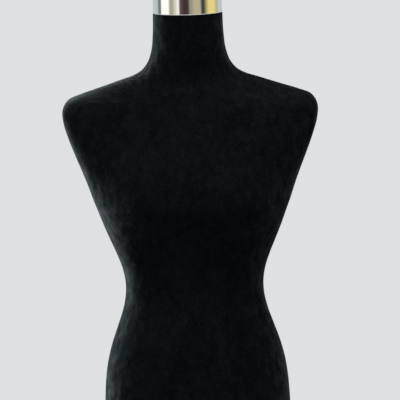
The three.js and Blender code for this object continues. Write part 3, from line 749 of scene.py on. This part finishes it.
respun("neck_cap", "neck_cap", "chrome", NECK_CENTRE, NECK_AXIS, 160, edge=0.3 * MM)
respun("cap_core", "neck_cap", "board", NECK_CENTRE, NECK_AXIS, edge=0.8 * MM)
respun("neck_board", "torso", "board", NECK_CENTRE, NECK_AXIS, edge=0.8 * MM)
respun("neck_insert", "torso", "brass", NECK_CENTRE, NECK_AXIS, edge=0.3 * MM)


def build_feet():
    for node in RUBBER_FEET:
        respun(node, "stand", "rubber", foot_of(node), segments=64, edge=1.2 * MM)


def build_collar():
    """The clamp ring round the lower pole's top, with the boss that takes the height screw."""
    INSIDE_RING = 17.4 * MM  # where the boss starts, inside the ring's wall
    chrome = MATERIALS["chrome"]
    chain, closed = profile_of("lock_collar", Vector(), Z_AXIS)
    outline = eased(chain, closed, 0.5 * MM)
    ring = spin("lock_collar_turned", outline, closed, Vector(), Z_AXIS, chrome, 128)
    low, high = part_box("lock_collar")
    boss = rod(BOSS_RADIUS, BOSS_START, BOSS_END, HEIGHT_LOCK, X_AXIS, chrome, 0.8 * MM)
    combine(boss, rod(INSIDE_RING, low.z, high.z, Vector(), Z_AXIS, chrome), "DIFFERENCE")
    combine(ring, boss, "UNION")
    hole = rod(SCREW_HOLE, HOLE_START, HOLE_END, HEIGHT_LOCK, X_AXIS, chrome, 0, 48)
    stands_for(combine(ring, hole, "DIFFERENCE"), "stand", "chrome", "lock_collar")


build_feet()
build_collar()

# ---------------------------------------------------------------- screws, nuts and knobs

THREAD_DEPTH = 0.35 * MM
THREAD_STEPS = 8  # rings of points in one turn of a thread


def threaded(pitch, start, end):
    """A warp that cuts a thread into a shaft between two heights."""

    def warp(radius, height, angle):
        if radius < ON_AXIS or not start < height < end:
            return radius
        phase = (height / pitch - angle / (2 * math.pi)) % 1
        ease = min(1, (height - start) / pitch, (end - height) / pitch)
        return radius - THREAD_DEPTH * ease * abs(2 * phase - 1)

    return warp


def shaft_points(radius, low, high, tip_radius, tip_length, pitch):
    """A shaft's outline with points close enough together to hold a thread."""
    length = high - low - tip_length
    count = int(length / (pitch / THREAD_STEPS))
    rows = [(radius, low + tip_length + length * i / count) for i in range(count + 1)]
    return [(0, low), (tip_radius, low), *rows, (0, high)]


def build_lock_screw(node, body, origin, axis):
    TIP_RADIUS, TIP_LENGTH = 2.6 * MM, 1.6 * MM
    low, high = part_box(node)
    start, end = low.dot(axis), high.dot(axis)
    points = shaft_points(SCREW_RADIUS, start, end, TIP_RADIUS, TIP_LENGTH, SCREW_PITCH)
    warp = threaded(SCREW_PITCH, start + TIP_LENGTH, end)
    obj = spin(node + "_cut", points, False, origin, axis, MATERIALS["zinc_steel"], 48, warp)
    stands_for(obj, body, "zinc_steel", node)


def build_knob(node, body, origin, axis, lobes):
    """A fluted hand knob with a round hub and a dished face."""
    HUB_RADIUS, HUB_LENGTH, HOLE_DEPTH, FLUTE = 9 * MM, 7 * MM, 12.4 * MM, 1.6 * MM
    EDGE, STEP, SEGMENTS_IN_LOBE = 2.2 * MM, 1.5 * MM, 16
    DISH_DEPTH, DISH_SHARE, DISH_FLOOR_SHARE = 0.9 * MM, 0.62, 0.9
    low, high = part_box(node)
    start, end = low.dot(axis), high.dot(axis)
    size = high - low
    radius = (size - axis * size.dot(axis)).length / math.sqrt(2) / 2
    head, hole_end = start + HUB_LENGTH, start + HOLE_DEPTH
    dish, dish_radius = end - DISH_DEPTH, DISH_SHARE * radius
    chain = [
        (0, hole_end), (SCREW_HOLE, hole_end), (SCREW_HOLE, start), (HUB_RADIUS, start),
        (HUB_RADIUS, head), (radius, head), (radius, end),
        (dish_radius, end), (dish_radius * DISH_FLOOR_SHARE, dish), (0, dish),
    ]

    def flute(r, height, angle):
        share = min(1, max(0, (r - HUB_RADIUS) / (radius - HUB_RADIUS)))
        return r - FLUTE * 0.5 * (1 - math.cos(lobes * angle)) * share * share * (3 - 2 * share)

    points = densified(eased(chain, False, EDGE), STEP)
    plastic, segments = MATERIALS["black_plastic"], lobes * SEGMENTS_IN_LOBE
    obj = spin(node + "_moulded", points, False, origin, axis, plastic, segments, flute)
    stands_for(obj, body, "black_plastic", node)


def densified(points, step):
    """The outline with extra points, so that no stretch is longer than the step."""
    result = [Vector(points[0])]
    for p in points[1:]:
        p = Vector(p)
        count = max(1, math.ceil((p - result[-1]).length / step))
        last = result[-1]
        result += [last.lerp(p, k / count) for k in range(1, count + 1)]
    return result


def neck_span(node):
    """Where a CAD node starts and ends along the neck's axis."""
    along = [(v.co - NECK_CENTRE).dot(NECK_AXIS) for v in frame["nodes"][node].data.vertices]
    return min(along), max(along)


def build_stud():
    TIP = 0.6 * MM
    steel = MATERIALS["zinc_steel"]
    low, high = neck_span("cap_stud")
    points = shaft_points(SCREW_RADIUS, low, high, SCREW_RADIUS - TIP, TIP, SCREW_PITCH)
    warp = threaded(SCREW_PITCH, low + TIP, high)
    obj = spin("cap_stud_cut", points, False, NECK_CENTRE, NECK_AXIS, steel, 48, warp)
    stands_for(obj, "cap_stud", "zinc_steel", "cap_stud")


def hexagon(name, low, high, radius, origin, axis, material):
    """A hexagonal bar whose corners are chamfered as a nut's are."""
    CHAMFER, PAST_CORNERS, INSIDE_FLATS = 0.9 * MM, 0.1 * MM, 0.2 * MM
    block = rod(radius, low, high, origin, axis, material, 0, 6)
    block.name = name
    wide, narrow = radius + PAST_CORNERS, radius * math.cos(math.pi / 6) - INSIDE_FLATS
    chain = [
        (0, low), (narrow, low), (wide, low + CHAMFER),
        (wide, high - CHAMFER), (narrow, high), (0, high),
    ]
    return combine(block, spin("cone", chain, False, origin, axis, material, 96), "INTERSECT")


def build_nut():
    NUT_RADIUS, PAST = 7.5 * MM, 1 * MM
    steel = MATERIALS["zinc_steel"]
    low, high = neck_span("cap_nut")
    nut = hexagon("cap_nut_cut", low, high, NUT_RADIUS, NECK_CENTRE, NECK_AXIS, steel)
    bore = rod(SCREW_HOLE, low - PAST, high + PAST, NECK_CENTRE, NECK_AXIS, steel, 0, 48)
    stands_for(combine(nut, bore, "DIFFERENCE"), "neck_cap", "zinc_steel", "cap_nut")


def build_base_bolt():
    """The bolt that holds the pole down on the dish, its head under the weight."""
    HEAD_RADIUS, HEAD_HEIGHT, RADIUS, PITCH = 10.9 * MM, 6 * MM, 6 * MM, 1.75 * MM
    IN_HEAD, PLAIN = 1 * MM, 6 * MM  # the shaft's lengths inside the head and without a thread
    steel = MATERIALS["zinc_steel"]
    low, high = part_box("base_bolt")
    head = hexagon("base_bolt_cut", low.z, low.z + HEAD_HEIGHT, HEAD_RADIUS, Vector(), Z_AXIS, steel)
    start = low.z + HEAD_HEIGHT - IN_HEAD
    points = shaft_points(RADIUS, start, high.z, RADIUS, IN_HEAD, PITCH)
    thread = threaded(PITCH, start + PLAIN, high.z)
    shaft = spin("shaft", points, False, Vector(), Z_AXIS, steel, 48, thread)
    stands_for(combine(head, shaft, "UNION"), "stand", "zinc_steel", "base_bolt")


def build_socket_screws():
    """Pan-head wood screws under the socket's plate, each with a cross recess."""
    LONG, WIDE, DEPTH = 4.6 * MM, 1 * MM, 1.5 * MM  # each slot of the recess
    steel = MATERIALS["zinc_steel"]
    for node in SOCKET_SCREWS:
        centre = middle_of(node)
        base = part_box(node)[0].z
        outline = eased(wood_screw_outline(node), False, 0.5 * MM)
        screw = spin(node + "_cut", outline, False, foot_of(node), Z_AXIS, steel, 48)
        for size in ((LONG, WIDE), (WIDE, LONG)):
            slot = box("slot", centre.x, centre.y, base - DEPTH, base + DEPTH, *size, steel)
            combine(screw, slot, "DIFFERENCE")
        stands_for(screw, "torso", "zinc_steel", node)


def wood_screw_outline(node):
    """A pan-head screw's outline without its recess, as wide and as long as its CAD node."""
    HEAD_HEIGHT, HEAD_RIM, CROWN_RADIUS = 3.2 * MM, 1.4 * MM, 2.4 * MM
    SHAFT, POINT = 2.1 * MM, 3 * MM
    low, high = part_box(node)
    radius = (high.x - low.x) / 2
    seat = low.z + HEAD_HEIGHT
    return [
        (0, low.z), (CROWN_RADIUS, low.z), (radius, seat - HEAD_RIM), (radius, seat), (SHAFT, seat),
        (SHAFT, high.z - POINT), (0, high.z),
    ]


def box(name, x, y, low, high, wide, deep, material):
    corners = [(x + sx * wide / 2, y + sy * deep / 2, z) for z in (low, high)
               for sx, sy in ((-1, -1), (1, -1), (1, 1), (-1, 1))]
    faces = [(3, 2, 1, 0), (4, 5, 6, 7), (0, 1, 5, 4), (1, 2, 6, 5), (2, 3, 7, 6), (3, 0, 4, 7)]
    return mesh_object(name, corners, faces, material, False)


build_lock_screw("height_lock_screw", "height_screw", HEIGHT_LOCK, X_AXIS)
build_lock_screw("torso_lock_screw", "torso_screw", TORSO_LOCK, Y_AXIS)
build_knob("height_lock_knob", "height_knob", HEIGHT_LOCK, X_AXIS, 9)
build_knob("torso_lock_knob", "torso_knob", TORSO_LOCK, Y_AXIS, 8)
build_stud()
build_nut()
build_base_bolt()
build_socket_screws()

# ---------------------------------------------------------------- pole socket and felt

WOOD_SCREW_HOLE = 2.5 * MM


def plate_levels(top, thickness, bevel):
    """The heights of a bevelled plate's outlines, each with how far it is inset."""
    bottom = top - thickness
    return [(bottom, bevel), (bottom + bevel, 0), (top - bevel, 0), (top, bevel)]


def build_plate(name, half, levels, material):
    """A square plate with round corners, from its outlines at several heights."""
    CORNER, STEPS = 8 * MM, 10
    reach = half - CORNER
    outline = []
    for quarter in range(4):
        turn = Matrix.Rotation(quarter * math.pi / 2, 3, "Z")
        for k in range(STEPS + 1):
            a = math.pi / 2 * k / STEPS
            corner = Vector((reach + CORNER * math.cos(a), reach + CORNER * math.sin(a), 0))
            outline.append(turn @ corner)
    points = []
    for z, inset in levels:
        shrink = 1 - inset / half
        points += [(p.x * shrink, p.y * shrink, z) for p in outline]
    count = len(outline)
    faces = grid_faces(len(levels), count, closed_columns=True)
    last = count * (len(levels) - 1)
    faces += [tuple(range(count))[::-1], tuple(range(last, last + count))]
    return mesh_object(name, points, faces, material, False)


def build_socket():
    """The plate, sleeve and boss under the torso that hold the upper pole."""
    PLATE_THICKNESS, PLATE_DROP, BEVEL = 4 * MM, 2.2 * MM, 0.5 * MM
    SLEEVE_RADIUS, EDGE, POLE_ROOM, PAST = 16.5 * MM, 0.8 * MM, 0.4 * MM, 1 * MM
    steel = MATERIALS["zinc_steel"]
    low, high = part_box("pole_socket")
    plate_top = HEM_HEIGHT - PLATE_DROP
    levels = plate_levels(plate_top, PLATE_THICKNESS, BEVEL)
    plate = build_plate("pole_socket_made", high.x, levels, steel)
    sleeve = rod(SLEEVE_RADIUS, low.z, high.z, Vector(), Z_AXIS, steel, EDGE, 128)
    combine(plate, sleeve, "UNION")
    boss = rod(BOSS_RADIUS, BOSS_START, BOSS_END, TORSO_LOCK, Y_AXIS, steel, EDGE)
    combine(plate, boss, "UNION")
    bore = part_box("upper_pole")[1].x + POLE_ROOM
    cuts = [
        rod(bore, low.z - PAST, high.z + PAST, Vector(), Z_AXIS, steel, 0, 120),
        rod(SCREW_HOLE, HOLE_START, HOLE_END, TORSO_LOCK, Y_AXIS, steel, 0, 48),
    ]
    for node in SOCKET_SCREWS:
        below = plate_top - 2 * PLATE_THICKNESS
        cuts.append(rod(WOOD_SCREW_HOLE, below, plate_top + PAST, foot_of(node), Z_AXIS, steel, 0, 32))
    for cut in cuts:
        combine(plate, cut, "DIFFERENCE")
    stands_for(plate, "torso", "zinc_steel", "pole_socket")


def felt_edge():
    """The angles round the felt, and its smooth outer edge at each of them."""
    AROUND, PAST_HOLES = 192, 60 * MM  # columns, and a radius outside all the holes
    low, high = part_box("underside_felt")
    middle = Vector((0, (low.y + high.y) / 2, 0))
    reaches = {}
    for v in frame["nodes"]["underside_felt"].data.vertices:
        d = v.co - middle
        radius = math.hypot(d.x, d.y)
        if radius > PAST_HOLES:
            reaches[round(math.atan2(d.y, d.x), 3)] = radius
    angles = np.array(sorted(reaches))
    radii = np.array([reaches[a] for a in angles])
    ring = np.stack([middle.x + radii * np.cos(angles), middle.y + radii * np.sin(angles)], -1)[:, None]
    wrapped = np.concatenate([ring[-MARGIN:], ring, ring[:MARGIN]])
    turn = 2 * math.pi
    places = np.concatenate([angles[-MARGIN:] - turn, angles, angles[:MARGIN] + turn])
    wanted = np.linspace(-math.pi, math.pi, AROUND + 1)[:-1]
    return wanted, through(wrapped, places, wanted)[:, 0]


def build_felt():
    """The felt under the torso: a soft-edged sheet with its holes punched."""
    CENTRE_HOLE, EDGE, EDGE_SHARE, PAST = 16.9 * MM, 0.6 * MM, 0.04, 2 * MM
    WAVE, WAVES = 0.12 * MM, 90  # the height of the felt's waves, and how many fit in a metre
    UPPER_FACE, LOWEST = 0.3 * MM, 0.1 * MM  # the upper face stays flat, the lower one sags no further
    low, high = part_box("underside_felt")
    angles, edge = felt_edge()
    inner = np.stack([np.cos(angles), np.sin(angles)], -1) * CENTRE_HOLE
    shares = [0, EDGE_SHARE, 0.12, *np.linspace(0.2, 0.95, 16), 1]  # from the edge to the hole
    rows = [(share, low.z, 1) for share in shares] + [(share, high.z, -1) for share in shares[::-1]]
    points = []
    for share, level, inwards in rows:
        soft = EDGE * max(0, 1 - share / EDGE_SHARE)
        z = level + inwards * soft
        points += [(x, y, z) for x, y in edge + (inner - edge) * share]
    wavy = []
    for x, y, z in points:
        lift = noise.noise(Vector((x, y, z)) * WAVES) * WAVE if z < high.z - UPPER_FACE else 0
        wavy.append((x, y, max(z + lift, low.z - LOWEST)))
    faces = grid_faces(len(rows), len(angles), closed_rows=True, closed_columns=True)
    felt = mesh_object("underside_felt_sheet", wavy, faces, MATERIALS["felt"])
    for node in SOCKET_SCREWS:
        below, above = low.z - PAST, high.z + PAST
        hole = rod(WOOD_SCREW_HOLE, below, above, foot_of(node), Z_AXIS, MATERIALS["felt"], 0, 32)
        combine(felt, hole, "DIFFERENCE")
    stands_for(felt, "torso", "felt", "underside_felt")


build_socket()
build_felt()


def dress_cad_nodes():
    """The procedural finishes on the CAD nodes that stay as they are."""
    slots = {
        "torso_front_shell": "moulded_shell",
        "torso_back_shell": "moulded_shell",
        "base_board": "board",
    }
    for node, slot in slots.items():
        mesh = frame["nodes"][node].data
        for i in range(len(mesh.materials)):
            mesh.materials[i] = MATERIALS[slot]


dress_cad_nodes()

# ---------------------------------------------------------------- stage, light and camera


def build_floor():
    FLOOR_RADIUS, STEPS, DROP = 5.0, 96, 0.5 * MM
    angles = [2 * math.pi * k / STEPS for k in range(STEPS)]
    ring = [(FLOOR_RADIUS * math.cos(a), FLOOR_RADIUS * math.sin(a), 0) for a in angles]
    material = bpy.data.materials.new("floor")
    material.use_nodes = True
    shader = material.node_tree.nodes["Principled BSDF"]
    shader.inputs["Base Color"].default_value = (0.70, 0.70, 0.69, 1)
    shader.inputs["Roughness"].default_value = 0.9
    floor = mesh_object("floor", ring, [tuple(range(STEPS))], material, False)
    floor.location.z = -DROP


def area_light(name, place, target, size, power, color=(1, 1, 1), size_y=None, spread=180):
    """A soft light that points at the target and doesn't show in the metal."""
    light = bpy.data.lights.new(name, "AREA")
    light.energy = power
    light.color = color
    light.shape = "RECTANGLE"
    light.size = size
    light.size_y = size_y or size
    light.spread = math.radians(spread)
    obj = bpy.data.objects.new(name, light)
    bpy.context.scene.collection.objects.link(obj)
    obj.location = place
    obj.rotation_euler = (Vector(target) - Vector(place)).to_track_quat("-Z", "Y").to_euler()
    obj.visible_glossy = False
    obj.visible_camera = False


# The bands that the polished metal sees round the room: where each starts and ends, in degrees from
# the direction of the camera, negative to its left, and its colour. Between two bands it fades over.
# The angles and colours were worked out from the reflections in the photographed cap.
SURROUNDINGS = [
    (-180, -120, (0.60, 0.65, 0.66)),
    (-108, -100, (0.21, 0.23, 0.23)),
    (-94, -68, (1.30, 1.27, 1.13)),
    (-60, -52, (0.47, 0.44, 0.33)),
    (-45, -43, (0.70, 0.68, 0.56)),
    (-32, -30, (1.12, 1.06, 1.00)),
    (-25, -23, (0.14, 0.10, 0.09)),
    (-12, 2, (0.06, 0.04, 0.04)),
    (9, 11, (0.36, 0.33, 0.25)),
    (24, 43, (0.56, 0.50, 0.32)),
    (50, 57, (0.06, 0.065, 0.06)),
    (76, 98, (0.94, 0.80, 0.28)),
    (112, 114, (0.55, 0.52, 0.32)),
    (124, 180, (0.60, 0.65, 0.66)),
]


def build_world():
    """A pale room: the camera sees a plain wall, the polished metal sees the bands above."""
    BRIGHTEST = 1.4  # a ramp's colours stop at 1, so they are stored divided by this
    WALL, CEILING = (0.74, 0.75, 0.76, 1), (0.72, 0.71, 0.69, 1)
    SHADE = (0.04, 0.042, 0.045, 1)  # what lights the form from below
    CEILING_START, CEILING_FULL = 0.45, 0.75  # sines of heights above the horizon, in reflections
    LIGHT_START, LIGHT_FULL = 0.1, 0.95  # the same for the light that falls on the form
    world = bpy.data.worlds.new("studio")
    bpy.context.scene.world = world
    world.use_nodes = True
    tree = world.node_tree

    def add(kind, *values, **settings):
        """A node with its first inputs set to values or linked to other nodes."""
        node = tree.nodes.new(kind)
        for key, value in settings.items():
            setattr(node, key, value)
        for socket, value in zip(node.inputs, values):
            give(socket, value)
        return node

    def give(socket, value):
        if isinstance(value, bpy.types.NodeSocket):
            tree.links.new(value, socket)
        else:
            socket.default_value = value

    def blend(factor, a, b):
        node = add("ShaderNodeMix", factor, data_type="RGBA")
        give(node.inputs[6], a)
        give(node.inputs[7], b)
        return node.outputs[2]

    def rising(value, low, high):
        return add("ShaderNodeMapRange", value, low, high, interpolation_type="SMOOTHSTEP").outputs[0]

    x, y, z = add("ShaderNodeSeparateXYZ", add("ShaderNodeTexCoord").outputs["Generated"]).outputs
    towards = add("ShaderNodeMath", y, -1, operation="MULTIPLY").outputs[0]
    around = add("ShaderNodeMath", x, towards, operation="ARCTAN2").outputs[0]
    turns = add("ShaderNodeMath", around, 1 / (2 * math.pi), 0.5, operation="MULTIPLY_ADD").outputs[0]
    bands = add("ShaderNodeValToRGB", turns)
    stops = bands.color_ramp.elements
    marks = [(degrees, color) for *ends, color in SURROUNDINGS for degrees in ends]
    while len(stops) < len(marks):
        stops.new(0.5)
    for stop, (degrees, _) in zip(stops, marks):
        stop.position = degrees / 360 + 0.5
    for stop, (_, color) in zip(stops, marks):
        stop.color = (*(part / BRIGHTEST for part in color), 1)
    scaled = add("ShaderNodeVectorMath", bands.outputs[0], operation="SCALE")
    scaled.inputs["Scale"].default_value = BRIGHTEST
    reflected = blend(rising(z, CEILING_START, CEILING_FULL), scaled.outputs[0], CEILING)
    soft = blend(rising(z, LIGHT_START, LIGHT_FULL), SHADE, CEILING)
    path = add("ShaderNodeLightPath")
    seen = blend(path.outputs["Is Glossy Ray"], soft, reflected)
    seen = blend(path.outputs["Is Camera Ray"], seen, WALL)
    tree.links.new(seen, tree.nodes["Background"].inputs["Color"])
    tree.nodes["Background"].inputs["Strength"].default_value = 1.0


def build_camera():
    """Level, facing the form's front, a little to one side and rolled by a degree or two."""
    DISTANCE = 2.2
    VIEW_WIDTH = 0.628  # across the picture at the pole's distance
    ROLL = math.radians(-1.5)
    HEIGHT_ON_TORSO = 0.446
    SIDE_STEP = 0.0117
    SENSOR = 36  # millimetres
    camera = bpy.data.objects.new("camera", bpy.data.cameras.new("camera"))
    bpy.context.scene.collection.objects.link(camera)
    camera.data.sensor_width = SENSOR
    camera.data.lens = SENSOR * DISTANCE / VIEW_WIDTH
    aim = Vector((SIDE_STEP, 0, HEM_HEIGHT + HEIGHT_ON_TORSO))
    place = Matrix.Translation(aim - Vector((0, DISTANCE, 0)))
    level = Matrix.Rotation(math.radians(90), 4, "X")
    camera.matrix_world = place @ level @ Matrix.Rotation(ROLL, 4, "Z")
    bpy.context.scene.camera = camera


build_floor()
build_world()
area_light("key", (0.35, -1.1, 3.4), (0, 0, 1.25), 1.2, 50)
area_light("rim", (-1.5, 1.1, 1.55), (0, 0, 1.15), 0.6, 24, (0.92, 0.97, 1.0), 0.9, 60)
area_light("fill", (-2.0, -0.5, 1.35), (0, 0, 1.2), 1.2, 11, (0.92, 0.97, 1.0), 1.2)
build_camera()
bpy.context.scene.view_settings.view_transform = "Standard"
